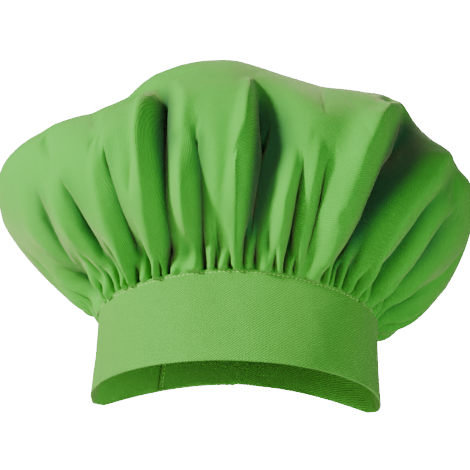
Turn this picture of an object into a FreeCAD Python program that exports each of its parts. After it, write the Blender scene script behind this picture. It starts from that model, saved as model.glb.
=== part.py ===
"""Chef toque: a gathered one-piece fabric crown on a folded headband that closes at the back.

Frame: +Z up, the wearer faces -Y, and the origin is the middle of the head opening, on the plane
of the headband's lower edge. All sizes are in millimetres.

The headband is one strip of twill folded at its lower edge round a stiffener. It runs from the
back, round the wearer's right side, the front and the left side, and its far end passes inside the
near end as a tongue. The crown is one disc of twill, gathered into the top of the band. It is slit
above the closure, so that the girth can be set, and a short tab with hook tape peels off the loop
tape that is sewn to the band.
"""
import FreeCAD
import Part
import math
import os

Vector = FreeCAD.Vector

# ---- Driving dimensions ------------------------------------------------------------------------

# Headband, in plan. The lower loop is rounded at the front and squarer at the back.
HALF_WIDTH = 113.0            # half the opening's width
FRONT_REACH = 70.0            # from the origin to the front of the band
BACK_REACH = 59.0             # from the origin to the back of the band, at its lower edge
LOWER_CENTRE_Y = 41.0         # where the lower loop is widest
LOWER_BACK_SQUARENESS = 4.2   # exponent of the lower loop's back half: 2 is an ellipse
UPPER_HALF_WIDTH = 107.0
UPPER_BACK_REACH = 70.0       # the band leans outwards at the back
UPPER_CENTRE_Y = 3.0
UPPER_SQUARENESS = 2.2

# Headband, in height
BAND_FRONT = 70.0             # upper edge at the front
BAND_SIDE = 58.0              # upper edge at the sides
BAND_BACK = 64.0              # upper edge at the back
BACK_RISE = 21.0              # how far the lower edge rises at the middle of the back
RISE_HALF_WIDTH = 104.0       # where the rise begins, from the middle

# Layers
TWILL = 0.5                   # thickness of one layer of twill
CORE = 0.8                    # thickness of the stiffener, and of the gathered crown in the seam
SEAM_ALLOWANCE = 10.0         # depth of the crown's edge inside the band
PIECE_GAP = 0.5               # free space between a piece's edge and the fold or seam beside it
LIE = 0.05                    # free space between a piece and the face that it lies on
THREAD = 0.35                 # thickness of a sewing thread

# Back closure, along the band from the middle of the back
VENT_HALF_WIDTH = 2.5         # half the slit in the crown, at the band
VENT_HEIGHT = 52.0            # height of the slit above the band
VENT_HEM = 5.0                # width of the slit's binding
BINDING = 0.5                 # thickness of the binding
TONGUE_LENGTH = 62.0          # the far end of the band, inside the near end
TONGUE_CLEARANCE = 0.4        # between the near end and the tongue
CROSSING_LENGTH = 20.0        # length over which the far end steps inside
TAB_HEIGHT = 28.0
TAB_DROP = 22.0               # the tab's middle, below the band's upper edge
TAB_ROOT_LENGTH = 24.0        # the sewn part of the tab
TAB_FREE_LENGTH = 84.0        # the part that peels off
TAB_CORNER = 6.0              # the free end's corners are cut off by this much
TAB_CORE = 0.3                # thickness of the tab's stiffener
TAPE = 1.0                    # thickness of hook tape, and of loop tape
TAPE_HEIGHT = 18.0
HOOK_START = 15.0             # from the middle of the back to the hook tape
HOOK_LENGTH = 40.0
LOOP_START = 9.0
LOOP_LENGTH = 70.0
HINGE_GAP = 0.3               # between the sewn and the free part of the tab
PEEL_CLEARANCE = 0.3          # between the hook and the loop tape, and under the free tab

# Crown
CLOTH = 0.5                   # thickness of the crown
CROWN_HALF_WIDTH = 180.0
CROWN_HALF_DEPTH = 150.0
CROWN_CENTRE_Y = 3.0
CROWN_TOP = 246.0
COLUMNS = 120                 # poles round the crown

# Care label, a blank folded loop inside the front of the band
LABEL_WIDTH = 24.0
LABEL_DROP = 30.0
LABEL_TOP = 8.0               # below the band's upper edge
LABEL = 0.3
LABEL_PLACE = 0.40            # share of the way round the band, from the middle of the back

# ---- Sizes that follow -------------------------------------------------------------------------

BAND = 2 * TWILL + CORE                        # thickness of the whole band
TONGUE_SHIFT = BAND + TONGUE_CLEARANCE
VENT_LIP = 1.0                                 # from the middle of the back to the near end
TAB = 2 * TWILL + TAB_CORE
TAB_LIFT = BAND + 2 * (TAPE + LIE) + PEEL_CLEARANCE    # underside of the free tab over the tapes
TAB_STEP = 14.0                                # length over which the tab rises to that height
STITCH_INSET = 2.5                             # from an edge to its row of stitches
LOOP_STEPS = 720
OUTWARD_STEP = 0.5


# ---- The loops of the headband -----------------------------------------------------------------

def polar_loop(half_width, centre_y, front_reach, back_reach, front_power, back_power):
    """Points round one edge of the band, from the middle of the back by way of the right side."""
    points = []
    for i in range(LOOP_STEPS + 1):
        angle = math.pi / 2 + 2 * math.pi * i / LOOP_STEPS
        c, s = math.cos(angle), math.sin(angle)
        reach, power = (back_reach - centre_y, back_power) if s > 0 else (front_reach + centre_y, front_power)
        r = (abs(c / half_width) ** power + abs(s / reach) ** power) ** (-1 / power)
        points.append((r * c, centre_y + r * s))
    return points


def lengths_along(points):
    """Distance along a loop to each of its points."""
    total = [0.0]
    for (x0, y0), (x1, y1) in zip(points, points[1:]):
        total.append(total[-1] + math.hypot(x1 - x0, y1 - y0))
    return total


LOWER = polar_loop(HALF_WIDTH, LOWER_CENTRE_Y, FRONT_REACH, BACK_REACH, 2.0, LOWER_BACK_SQUARENESS)
UPPER = polar_loop(UPPER_HALF_WIDTH, UPPER_CENTRE_Y, FRONT_REACH, UPPER_BACK_REACH,
                   UPPER_SQUARENESS, UPPER_SQUARENESS)
LOWER_LENGTHS = lengths_along(LOWER)
UPPER_LENGTHS = lengths_along(UPPER)
GIRTH = LOWER_LENGTHS[-1]


def on_loop(points, lengths, share):
    """The point at a share of the way round a loop."""
    want = (share % 1.0) * lengths[-1]
    low, high = 0, len(lengths) - 1
    while high - low > 1:
        middle = (low + high) // 2
        if lengths[middle] <= want:
            low = middle
        else:
            high = middle
    t = (want - lengths[low]) / (lengths[high] - lengths[low])
    (x0, y0), (x1, y1) = points[low], points[high]
    return x0 + (x1 - x0) * t, y0 + (y1 - y0) * t


def smooth_step(value, start, end):
    """0 before start, 1 after end, and smooth between them."""
    t = min(1.0, max(0.0, (value - start) / (end - start)))
    return t * t * (3 - 2 * t)


def lower_height(x, y):
    """Height of the band's lower edge: flat, but for the rise at the back."""
    if y < LOWER_CENTRE_Y or abs(x) >= RISE_HALF_WIDTH:
        return 0.0
    return BACK_RISE * (1 - (x / RISE_HALF_WIDTH) ** 2)


def upper_height(share):
    """Height of the band's upper edge, at a share of the way round."""
    c = math.cos(2 * math.pi * share)
    end = BAND_BACK if c > 0 else BAND_FRONT
    return BAND_SIDE + (end - BAND_SIDE) * c * c


def crossing_shift(distance):
    """How far inwards the band has stepped, to pass inside its own near end."""
    return TONGUE_SHIFT * smooth_step(distance, *CROSSING)


def band_frame(distance, shift):
    """Lower point, upper point and outward direction of the band's inner face, at a distance along it."""
    share = distance / GIRTH
    x0, y0 = on_loop(LOWER, LOWER_LENGTHS, share)
    x1, y1 = on_loop(UPPER, UPPER_LENGTHS, share)
    step = OUTWARD_STEP / GIRTH
    ax, ay = on_loop(LOWER, LOWER_LENGTHS, share - step)
    bx, by = on_loop(LOWER, LOWER_LENGTHS, share + step)
    cx, cy = on_loop(UPPER, UPPER_LENGTHS, share - step)
    dx, dy = on_loop(UPPER, UPPER_LENGTHS, share + step)
    out = Vector(-(by - ay + dy - cy), bx - ax + dx - cx, 0)
    out.normalize()
    if out * Vector(x0, y0 - LOWER_CENTRE_Y, 0) < 0:
        out = out * -1
    inwards = out * -(BAND + shift)
    foot = Vector(x0, y0, lower_height(x0, y0)) + inwards
    head = Vector(x1, y1, upper_height(share)) + inwards
    return foot, head, out


def on_band(distance, height, offset):
    """A point of the band: height is measured up the wall from the lower edge, offset from the inner face."""
    foot, head, out = band_frame(distance, crossing_shift(distance))
    wall = head - foot
    return foot + wall * (height / wall.Length) + out * offset


def over_band(distance, height, offset):
    """The same, but for a piece that lies outside the closure and does not step inwards with the tongue."""
    foot, head, out = band_frame(distance, 0)
    wall = head - foot
    return foot + wall * (height / wall.Length) + out * offset


def wall_height(distance):
    foot, head, _ = band_frame(distance, 0)
    return (head - foot).Length


# ---- Solids swept along the band ---------------------------------------------------------------

def spaced(start, end, step):
    count = max(2, round(abs(end - start) / step))
    return [start + (end - start) * i / count for i in range(count + 1)]


def curve_through(points):
    """A smooth curve that reaches each point at its own number, so that curves side by side keep step."""
    curve = Part.BSplineCurve()
    curve.interpolate(Points=points, Parameters=[float(i) for i in range(len(points))])
    return curve.toShape()


def sewn_solid(faces):
    """One closed solid from faces that share their edges."""
    shell = Part.makeShell(faces)
    shell.sewShape()
    solid = Part.Solid(shell.Shells[0] if shell.Shells else shell)
    if solid.Volume < 0:
        solid.reverse()
    return solid


def band_strip(section, stretches, flat_side=None, step=2.5):
    """A solid whose section (a function of distance, giving its corner points in order) runs along
    the band over the stretches between the given distances. flat_side is (stretch, side) of a face
    that lies in one plane."""
    faces = []
    for index, (start, end) in enumerate(zip(stretches, stretches[1:])):
        stations = [section(d) for d in spaced(start, end, step)]
        rails = [curve_through(list(rail)) for rail in zip(*stations)]
        for side, rail in enumerate(rails):
            following = (side + 1) % len(rails)
            if flat_side == (index, side):
                ends = [Part.makeLine(stations[k][side], stations[k][following]) for k in (0, -1)]
                faces.append(Part.Face(Part.Wire(Part.__sortEdges__([rail, ends[1], rails[following], ends[0]]))))
            else:
                faces.append(Part.makeRuledSurface(rail, rails[following]))
    for corners in (section(stretches[0]), section(stretches[-1])):
        faces.append(Part.Face(Part.makePolygon(corners + corners[:1])))
    return sewn_solid(faces)


def box_section(low, high, inner, outer, place=on_band):
    """A four-cornered section. The heights and offsets are numbers or functions of the distance."""
    def at(value, d):
        return value(d) if callable(value) else value

    def section(d):
        corners = [(low, outer), (high, outer), (high, inner), (low, inner)]
        return [place(d, at(height, d), at(offset, d)) for height, offset in corners]
    return section


def edge_of_rise():
    """The two distances along the band where its lower edge starts to rise."""
    flat = [i for i, point in enumerate(LOWER) if lower_height(*point) == 0]
    return LOWER_LENGTHS[flat[0]], LOWER_LENGTHS[flat[-1]]


NEAR_END = VENT_LIP
FAR_END = GIRTH + TONGUE_LENGTH
RISE_ENDS, RISE_STARTS = edge_of_rise()
CROSSING = GIRTH - CROSSING_LENGTH - VENT_LIP, GIRTH - VENT_LIP
STRETCHES = [NEAR_END, RISE_ENDS, RISE_STARTS, *CROSSING, FAR_END]


# ---- Headband ----------------------------------------------------------------------------------

def make_band_shell():
    """The folded strip: outer layer, fold along the lower edge, inner layer."""
    def section(d):
        top = wall_height(d)
        return [on_band(d, 0, BAND), on_band(d, top, BAND), on_band(d, top, BAND - TWILL),
                on_band(d, TWILL, BAND - TWILL), on_band(d, TWILL, TWILL), on_band(d, top, TWILL),
                on_band(d, top, 0), on_band(d, 0, 0)]
    return band_strip(section, STRETCHES, flat_side=(1, 7))


def make_band_stiffener():
    """The stiffener between the two layers, from the fold to below the gathered edge."""
    section = box_section(TWILL + LIE, lambda d: wall_height(d) - SEAM_ALLOWANCE - PIECE_GAP,
                          TWILL + LIE, TWILL + CORE - LIE)
    return band_strip(section, STRETCHES)


# ---- Stitching ---------------------------------------------------------------------------------

def row_along(start, end, height, offset, place=on_band, stops=()):
    """A row of stitches along the band, whose inner side is at an offset."""
    def at(value, d):
        return value(d) if callable(value) else value
    section = box_section(lambda d: at(height, d) - THREAD / 2, lambda d: at(height, d) + THREAD / 2,
                          offset, lambda d: at(offset, d) + THREAD, place)
    return band_strip(section, [start, *stops, end])


def row_up(distance, low, high, offset, place=on_band):
    """An upright row of stitches, whose inner side is at an offset."""
    section = box_section(low, high, offset, offset + THREAD, place)
    return band_strip(section, [distance - THREAD / 2, distance + THREAD / 2])


def stitched_box(start, end, half_height, offset, place=on_band):
    """Four rows round a rectangle that is centred on the tab's middle line."""
    reach = half_height - THREAD / 2 - 0.05
    rows = [row_along(start, end, from_tab_middle(side * half_height), offset, place) for side in (-1, 1)]
    rows += [row_up(d, from_tab_middle(-reach), from_tab_middle(reach), offset, place) for d in (start, end)]
    return Part.Compound(rows)


def below_upper_edge(d):
    return wall_height(d) - STITCH_INSET


def make_band_topstitching():
    """The row of stitches just below the upper edge, as it shows outside and inside."""
    near = NEAR_END + 2 * STITCH_INSET
    return Part.Compound([
        row_along(near, CROSSING[0], below_upper_edge, BAND + LIE),
        row_along(TONGUE_LENGTH + near, CROSSING[0], below_upper_edge, -THREAD - LIE),
        row_along(GIRTH, FAR_END - 2 * STITCH_INSET, below_upper_edge, -THREAD - LIE)])


def make_band_end_stitching():
    """The rows that close the two ends of the folded strip."""
    near, far = NEAR_END + STITCH_INSET, FAR_END - STITCH_INSET
    return Part.Compound([row_up(near, STITCH_INSET, wall_height(near) - STITCH_INSET, BAND + LIE),
                          row_up(far, STITCH_INSET, wall_height(far) - STITCH_INSET, -THREAD - LIE)])


# ---- Closure -----------------------------------------------------------------------------------

HINGE = CROSSING[0] - 1
TAB_END = HINGE + TAB_FREE_LENGTH
TAB_LEVEL = HINGE + TAB_STEP                   # from here on the free tab lies level over the tapes


def from_tab_middle(above):
    """The height up the wall of a line that runs beside the tab's middle line."""
    return lambda d: wall_height(d) - TAB_DROP + above


def tab_half(d):
    """Half the free tab's height, with its end corners cut off."""
    return TAB_HEIGHT / 2 - max(0.0, d - (TAB_END - TAB_CORNER))


def tab_edges(inset=0.0):
    """The free tab's lower and upper edge, moved inwards by inset."""
    return (lambda d: from_tab_middle(inset - tab_half(d))(d),
            lambda d: from_tab_middle(tab_half(d) - inset)(d))


def tab_underside(d):
    """Offset of the free tab's underside: it rises from the band to lie over the tapes."""
    start = BAND + PEEL_CLEARANCE
    return start + (TAB_LIFT - start) * smooth_step(d, HINGE, TAB_LEVEL)


def over_tab_underside(lift):
    return lambda d: tab_underside(d) + lift


TAPE_EDGES = from_tab_middle(-TAPE_HEIGHT / 2), from_tab_middle(TAPE_HEIGHT / 2)
HOOK = GIRTH + HOOK_START, GIRTH + HOOK_START + HOOK_LENGTH
LOOP = LOOP_START, LOOP_START + LOOP_LENGTH


def make_loop_tape():
    return band_strip(box_section(*TAPE_EDGES, BAND + LIE, BAND + LIE + TAPE), LOOP)


def make_hook_tape():
    return band_strip(box_section(*TAPE_EDGES, TAB_LIFT - LIE - TAPE, TAB_LIFT - LIE, over_band), HOOK)


def make_loop_tape_stitching():
    """The rows just outside the loop tape's edges, on the band."""
    return stitched_box(LOOP[0] - THREAD, LOOP[1] + THREAD, TAPE_HEIGHT / 2 + THREAD, BAND + LIE)


def make_hook_tape_stitching():
    """The rows just outside the hook tape's edges, on the underside of the tab."""
    return stitched_box(HOOK[0] - THREAD, HOOK[1] + THREAD, TAPE_HEIGHT / 2 + THREAD,
                        TAB_LIFT - THREAD - LIE, over_band)


def make_tab_root():
    section = box_section(from_tab_middle(-TAB_HEIGHT / 2), from_tab_middle(TAB_HEIGHT / 2),
                          BAND + LIE, BAND + TAB, over_band)
    return band_strip(section, [HINGE - TAB_ROOT_LENGTH, HINGE])


def make_tab_root_stitching():
    return stitched_box(HINGE - TAB_ROOT_LENGTH + STITCH_INSET, HINGE - STITCH_INSET,
                        TAB_HEIGHT / 2 - STITCH_INSET, BAND + TAB + LIE, over_band)


def make_closure_tab():
    """The free tab: two layers joined all round, hollow for the stiffener and open at the root end."""
    start, turn = HINGE + HINGE_GAP, TAB_END - TAB_CORNER
    whole = box_section(*tab_edges(), tab_underside, over_tab_underside(TAB), over_band)
    space = box_section(*tab_edges(TWILL), over_tab_underside(TWILL), over_tab_underside(TAB - TWILL), over_band)
    return band_strip(whole, [start, TAB_LEVEL, turn, TAB_END]).cut(
        band_strip(space, [start - 1, TAB_LEVEL, turn, TAB_END - TWILL]))


def make_tab_stiffener():
    inset = TWILL + PIECE_GAP
    section = box_section(*tab_edges(inset), over_tab_underside(TWILL + LIE),
                          over_tab_underside(TAB - TWILL - LIE), over_band)
    return band_strip(section, [HINGE + HINGE_GAP + PIECE_GAP, TAB_LEVEL, TAB_END - TAB_CORNER, TAB_END - inset])


def make_tab_stitching():
    """The rows along the free tab's two long edges and across its end."""
    start, turn, end = HINGE + HINGE_GAP + STITCH_INSET, TAB_END - TAB_CORNER, TAB_END - STITCH_INSET
    rows = [row_along(start, turn, from_tab_middle(side * (TAB_HEIGHT / 2 - STITCH_INSET)),
                      over_tab_underside(TAB + LIE), over_band, [TAB_LEVEL]) for side in (-1, 1)]
    reach = TAB_HEIGHT / 2 - TAB_CORNER - STITCH_INSET / 2
    rows.append(row_up(end, from_tab_middle(-reach), from_tab_middle(reach), TAB_LIFT + TAB + LIE, over_band))
    return Part.Compound(rows)


# ---- Care label --------------------------------------------------------------------------------

LABEL_START = GIRTH * LABEL_PLACE - LABEL_WIDTH / 2
LABEL_FOLD_GAP = 0.2
LABEL_BACK = -2 * LIE         # the label's back, from the band's inner face


def make_care_label():
    """A folded ribbon with its fold at the bottom."""
    faces = [LABEL_BACK - 2 * LABEL - LABEL_FOLD_GAP, LABEL_BACK - LABEL - LABEL_FOLD_GAP,
             LABEL_BACK - LABEL, LABEL_BACK]

    def section(d):
        top = wall_height(d) - LABEL_TOP
        low = top - LABEL_DROP
        inside = low + LABEL
        return [on_band(d, low, faces[0]), on_band(d, top, faces[0]), on_band(d, top, faces[1]),
                on_band(d, inside, faces[1]), on_band(d, inside, faces[2]), on_band(d, top, faces[2]),
                on_band(d, top, faces[3]), on_band(d, low, faces[3])]
    return band_strip(section, [LABEL_START, LABEL_START + LABEL_WIDTH])


def make_care_label_stitching():
    offset = LABEL_BACK - 2 * LABEL - LABEL_FOLD_GAP - THREAD - LIE
    return row_along(LABEL_START + 1, LABEL_START + LABEL_WIDTH - 1,
                     lambda d: wall_height(d) - LABEL_TOP - STITCH_INSET, offset)


# ---- Crown -------------------------------------------------------------------------------------

# Rows in and just above the seam: heights from the band's upper edge.
SEAM_ROWS = [-SEAM_ALLOWANCE, -0.7 * SEAM_ALLOWANCE, -0.4 * SEAM_ALLOWANCE, -0.15 * SEAM_ALLOWANCE, 1.0]
# Rows above: share of the reach from the seam to the widest ring, and share of the height from the
# seam to the top.
LOWER_ROWS = [(0.07, 0.030), (0.20, 0.055), (0.42, 0.10), (0.66, 0.19), (0.86, 0.32), (0.97, 0.46)]
# Rows from the widest ring to the top: share of the widest ring's size, share of the height.
UPPER_ROWS = [(1.0, 0.60), (0.98, 0.75), (0.88, 0.90), (0.68, 0.98)]
TOP_SIZES = [0.45, 0.25, 0.10, 0.03]
SURFACE_START = 0.25          # where the crown's surface closes on itself, away from the slit
POLE_LEAD = 0.05              # the poles stand this far out, because the surface runs inside its poles


def crown_column(share):
    """Poles of the crown's middle surface, from its edge inside the band to the top."""
    d = GIRTH * share
    column = [on_band(d, wall_height(d) + above, BAND / 2 + POLE_LEAD) for above in SEAM_ROWS]
    seam = column[-1]
    angle = math.atan2((seam.y - UPPER_CENTRE_Y) * CROWN_HALF_WIDTH, seam.x * CROWN_HALF_DEPTH)
    middle = Vector(0, CROWN_CENTRE_Y, 0)
    widest = middle + Vector(CROWN_HALF_WIDTH * math.cos(angle), CROWN_HALF_DEPTH * math.sin(angle), 0)
    rise = CROWN_TOP - seam.z
    for reach, lift in LOWER_ROWS:
        flat = seam + (Vector(widest.x, widest.y, seam.z) - seam) * reach
        column.append(flat + Vector(0, 0, rise * lift))
    for size, lift in UPPER_ROWS:
        flat = middle + (widest - middle) * size
        column.append(flat + Vector(0, 0, seam.z + rise * lift))
    return column + [middle + (widest - middle) * size + Vector(0, 0, CROWN_TOP) for size in TOP_SIZES]


def crown_poles():
    return [crown_column((SURFACE_START + i / COLUMNS) % 1.0) for i in range(COLUMNS)]


def moved_out(columns, distance):
    """The poles moved square to the surface, outwards for a positive distance."""
    moved = []
    for i, column in enumerate(columns):
        ahead, behind = columns[(i + 1) % len(columns)], columns[i - 1]
        new = []
        for j, point in enumerate(column):
            along = column[min(j + 1, len(column) - 1)] - column[max(j - 1, 0)]
            direction = (ahead[j] - behind[j]).cross(along)
            if j < len(SEAM_ROWS):
                direction.z = 0
            if j >= len(column) - len(TOP_SIZES):
                direction = Vector(0, 0, 1)
            direction.normalize()
            if direction * (point - Vector(0, CROWN_CENTRE_Y, CROWN_TOP / 2)) < 0:
                direction = direction * -1
            new.append(point + direction * distance)
        moved.append(new)
    return moved


def surface_from(columns):
    """A smooth surface over the poles, closed round the crown."""
    rows = [list(row) for row in zip(*columns)]
    spans = len(rows) - 3
    surface = Part.BSplineSurface()
    surface.buildFromPolesMultsKnots(rows, [4] + [1] * (spans - 1) + [4], [1] * (COLUMNS + 1),
                                     [float(k) for k in range(spans + 1)],
                                     [float(k) for k in range(COLUMNS + 1)], False, True, 3, 3)
    return surface


def closed_shell(outer_columns, inner_columns):
    """A thin shell between two surfaces, closed by small flat tops and by the rim below."""
    faces, rims = [], []
    for columns in (outer_columns, inner_columns):
        surface = surface_from(columns)
        low, high = surface.bounds()[:2]
        faces += [surface.toShape(), Part.Face(Part.Wire(surface.uIso(high).toShape()))]
        rims.append(surface.uIso(low).toShape())
    faces.append(Part.makeRuledSurface(*rims))
    return sewn_solid(faces)


def slit_prism(margin, foot, head):
    """A prism through the back of the crown, round the slit and wider by margin on each side."""
    low, tip = BAND_BACK - foot, BAND_BACK + VENT_HEIGHT + head
    corners = [(-VENT_HALF_WIDTH - margin, low), (VENT_HALF_WIDTH + margin, low),
               (THREAD + margin, tip), (-THREAD - margin, tip), (-VENT_HALF_WIDTH - margin, low)]
    outline = Part.makePolygon([Vector(x, 0, z) for x, z in corners])
    return Part.Face(outline).extrude(Vector(0, 2 * CROWN_HALF_DEPTH, 0))


NOTCH_HALF_WIDTH = 10.0       # the seam allowance is notched away beside the slit


def make_crown(poles):
    shell = closed_shell(moved_out(poles, CLOTH / 2), moved_out(poles, -CLOTH / 2))
    notch = Part.makeBox(2 * NOTCH_HALF_WIDTH, 2 * CROWN_HALF_DEPTH, SEAM_ALLOWANCE * 2,
                         Vector(-NOTCH_HALF_WIDTH, 0, BAND_BACK + PIECE_GAP - 2 * SEAM_ALLOWANCE))
    return shell.cut(slit_prism(0, SEAM_ALLOWANCE, 0)).cut(notch)


def make_vent_binding(poles):
    """A narrow folded strip on the outside, round both edges of the slit."""
    shell = closed_shell(moved_out(poles, CLOTH / 2 + BINDING), moved_out(poles, CLOTH / 2))
    foot = -1.5
    return shell.common(slit_prism(VENT_HEM, foot, VENT_HEM)).cut(slit_prism(0, SEAM_ALLOWANCE, 0))


def make_vent_bar_tack(poles):
    """The dense tack across the top of the slit."""
    lift = CLOTH / 2 + BINDING
    shell = closed_shell(moved_out(poles, lift + THREAD), moved_out(poles, lift))
    tack = Part.makeBox(2 * VENT_HEM * 0.8, 2 * CROWN_HALF_DEPTH, 1.6,
                        Vector(-VENT_HEM * 0.8, 0, BAND_BACK + VENT_HEIGHT + 0.8))
    return shell.common(tack)


def make_gathering_thread():
    """The thread through the gathered edge, hidden inside the seam."""
    start, end = NOTCH_HALF_WIDTH + 2, GIRTH - NOTCH_HALF_WIDTH - CROSSING_LENGTH
    free = (BAND - CLOTH) / 2 - TWILL
    section = box_section(lambda d: wall_height(d) - SEAM_ALLOWANCE / 2,
                          lambda d: wall_height(d) - SEAM_ALLOWANCE / 2 + THREAD,
                          TWILL + 0.3 * free, TWILL + 0.6 * free)
    return band_strip(section, [start, end])


# ---- All the pieces ----------------------------------------------------------------------------

def make_parts():
    poles = crown_poles()
    return {
        "crown": make_crown(poles),
        "gathering_thread": make_gathering_thread(),
        "vent_binding": make_vent_binding(poles),
        "vent_bar_tack": make_vent_bar_tack(poles),
        "band_shell": make_band_shell(),
        "band_stiffener": make_band_stiffener(),
        "band_topstitching": make_band_topstitching(),
        "band_end_stitching": make_band_end_stitching(),
        "loop_tape": make_loop_tape(),
        "loop_tape_stitching": make_loop_tape_stitching(),
        "tab_root": make_tab_root(),
        "tab_root_stitching": make_tab_root_stitching(),
        "closure_tab": make_closure_tab(),
        "tab_stiffener": make_tab_stiffener(),
        "tab_stitching": make_tab_stitching(),
        "hook_tape": make_hook_tape(),
        "hook_tape_stitching": make_hook_tape_stitching(),
        "care_label": make_care_label(),
        "care_label_stitching": make_care_label_stitching(),
    }


if __name__ == "__main__":
    os.makedirs("parts", exist_ok=True)
    for name, shape in make_parts().items():
        shape.exportStep("parts/%s.step" % name)
        box = shape.BoundBox
        print("%-22s valid %s  solids %d  volume %9.1f  x %.1f..%.1f  y %.1f..%.1f  z %.1f..%.1f" % (
            name, shape.isValid(), len(shape.Solids), shape.Volume,
            box.XMin, box.XMax, box.YMin, box.YMax, box.ZMin, box.ZMax))
    print("girth %.1f" % GIRTH)
    for above in (-TAB_HEIGHT / 2, TAB_HEIGHT / 2):
        print("hinge line", over_band(HINGE, from_tab_middle(above)(HINGE), BAND + TAB))
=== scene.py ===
"""The looks of a chef toque: gathered crown, folded headband, hook-and-loop closure at the back."""
import math
import bpy
import numpy as np
from mathutils import Matrix, Vector


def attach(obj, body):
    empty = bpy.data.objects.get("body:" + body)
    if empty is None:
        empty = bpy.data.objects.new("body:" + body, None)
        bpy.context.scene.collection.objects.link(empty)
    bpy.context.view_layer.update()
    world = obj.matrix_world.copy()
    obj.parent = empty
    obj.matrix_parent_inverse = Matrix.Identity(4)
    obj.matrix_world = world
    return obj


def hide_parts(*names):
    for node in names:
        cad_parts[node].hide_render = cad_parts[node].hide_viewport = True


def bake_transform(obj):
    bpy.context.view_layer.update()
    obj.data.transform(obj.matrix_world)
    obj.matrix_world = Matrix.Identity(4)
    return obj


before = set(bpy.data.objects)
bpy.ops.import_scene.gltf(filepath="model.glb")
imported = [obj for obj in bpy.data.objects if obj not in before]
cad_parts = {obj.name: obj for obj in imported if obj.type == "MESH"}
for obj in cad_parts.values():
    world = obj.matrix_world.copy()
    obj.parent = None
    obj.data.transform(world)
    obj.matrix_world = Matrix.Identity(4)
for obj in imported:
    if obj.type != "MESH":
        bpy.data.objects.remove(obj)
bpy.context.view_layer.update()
MM = 0.001


def set_all(target, **values):
    """Sets several of an object's settings."""
    for key, value in values.items():
        setattr(target, key, value)


def link(name, mesh):
    """A new object in the scene that holds the mesh, light or camera."""
    obj = bpy.data.objects.new(name, mesh)
    bpy.context.scene.collection.objects.link(obj)
    return obj


def smooth_step(value, start, end):
    """0 before start, 1 after end, and smooth between. start may be the larger."""
    t = np.clip((value - start) / (end - start), 0, 1)
    return t * t * (3 - 2 * t)


def unit(vectors):
    """The same directions at length 1."""
    return vectors / np.maximum(np.linalg.norm(vectors, axis=-1, keepdims=True), 1e-12)


def wander(x, seed, terms=6, longest=1.0):
    """A smooth uneven wave of x, about -1 to 1, from a few sines of falling length."""
    rng = np.random.default_rng(seed)
    total = 0
    for k in range(terms):
        total = total + np.sin(2 * np.pi * (x / longest * 1.55 ** k + rng.random())) / 1.25 ** k
    return total / 2.4


# ---- Camera, light and floor ----

def make_camera():
    """A long lens a little below the hat, looking up into the opening."""
    data = bpy.data.cameras.new("camera")
    set_all(data, sensor_width=36.0, lens=108.0)
    camera = link("camera", data)
    elevation, turn, roll = math.radians(23.26), math.radians(-0.63), math.radians(1.8)
    forward = Vector((math.sin(turn) * math.cos(elevation), math.cos(turn) * math.cos(elevation),
                      math.sin(elevation)))
    right = forward.cross(Vector((0, 0, 1))).normalized()
    up = right.cross(forward)
    tilted_right = right * math.cos(roll) + up * math.sin(roll)
    tilted_up = up * math.cos(roll) - right * math.sin(roll)
    rotation = Matrix((tilted_right, tilted_up, -forward)).transposed()
    camera.matrix_world = Matrix.Translation((0.0071, -1.0199, -0.3121)) @ rotation.to_4x4()
    bpy.context.scene.camera = camera


def make_light(name, place, size, power, colour=(1, 1, 1)):
    """A round area light that faces the middle of the hat."""
    data = bpy.data.lights.new(name, "AREA")
    set_all(data, shape="DISK", size=size, energy=power, color=colour)
    light = link(name, data)
    light.location = place
    light.rotation_euler = (Vector((0, 0, 0.12)) - light.location).to_track_quat("-Z", "Y").to_euler()


def make_studio():
    """A white surround that the camera sees as white and that lights the object only softly."""
    world = bpy.data.worlds.new("studio")
    bpy.context.scene.world = world
    world.use_nodes = True
    nodes, links = world.node_tree.nodes, world.node_tree.links
    nodes.clear()
    out, mix = nodes.new("ShaderNodeOutputWorld"), nodes.new("ShaderNodeMixShader")
    links.new(nodes.new("ShaderNodeLightPath").outputs["Is Camera Ray"], mix.inputs[0])
    for socket, strength, colour in ((1, 0.06, (0.55, 0.88, 1, 1)), (2, 30.0, (1, 1, 1, 1))):
        background = nodes.new("ShaderNodeBackground")
        background.inputs["Color"].default_value = colour
        background.inputs["Strength"].default_value = strength
        links.new(background.outputs[0], mix.inputs[socket])
    links.new(mix.outputs[0], out.inputs[0])
    make_light("key", (-1.46, -1.02, 0.66), 0.30, 106.0, (1.0, 0.93, 0.70))
    make_light("fill", (0.80, -1.25, -0.30), 0.5, 14.0, (0.86, 1.0, 0.80))
    make_light("rim", (0.3, 1.0, 1.3), 0.8, 9.0)


def make_floor():
    """A wide pale floor, lit evenly to the camera so that no horizon stands out."""
    size, drop = 6.0, -0.62
    mesh = bpy.data.meshes.new("floor")
    mesh.from_pydata([(-size, -size, drop), (size, -size, drop), (size, size, drop), (-size, size, drop)],
                     [], [(0, 1, 2, 3)])
    material = bpy.data.materials.new("floor")
    material.use_nodes = True
    nodes, links = material.node_tree.nodes, material.node_tree.links
    shader = nodes["Principled BSDF"]
    shader.inputs["Base Color"].default_value = (0.92, 0.92, 0.91, 1)
    shader.inputs["Emission Color"].default_value = (1, 1, 1, 1)
    seen = nodes.new("ShaderNodeMath")
    seen.operation, seen.inputs[1].default_value = "MULTIPLY", 1.6
    links.new(nodes.new("ShaderNodeLightPath").outputs["Is Camera Ray"], seen.inputs[0])
    links.new(seen.outputs[0], shader.inputs["Emission Strength"])
    mesh.materials.append(material)
    link("floor", mesh)


make_camera()
make_studio()
make_floor()

# ---- Materials ----


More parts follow.
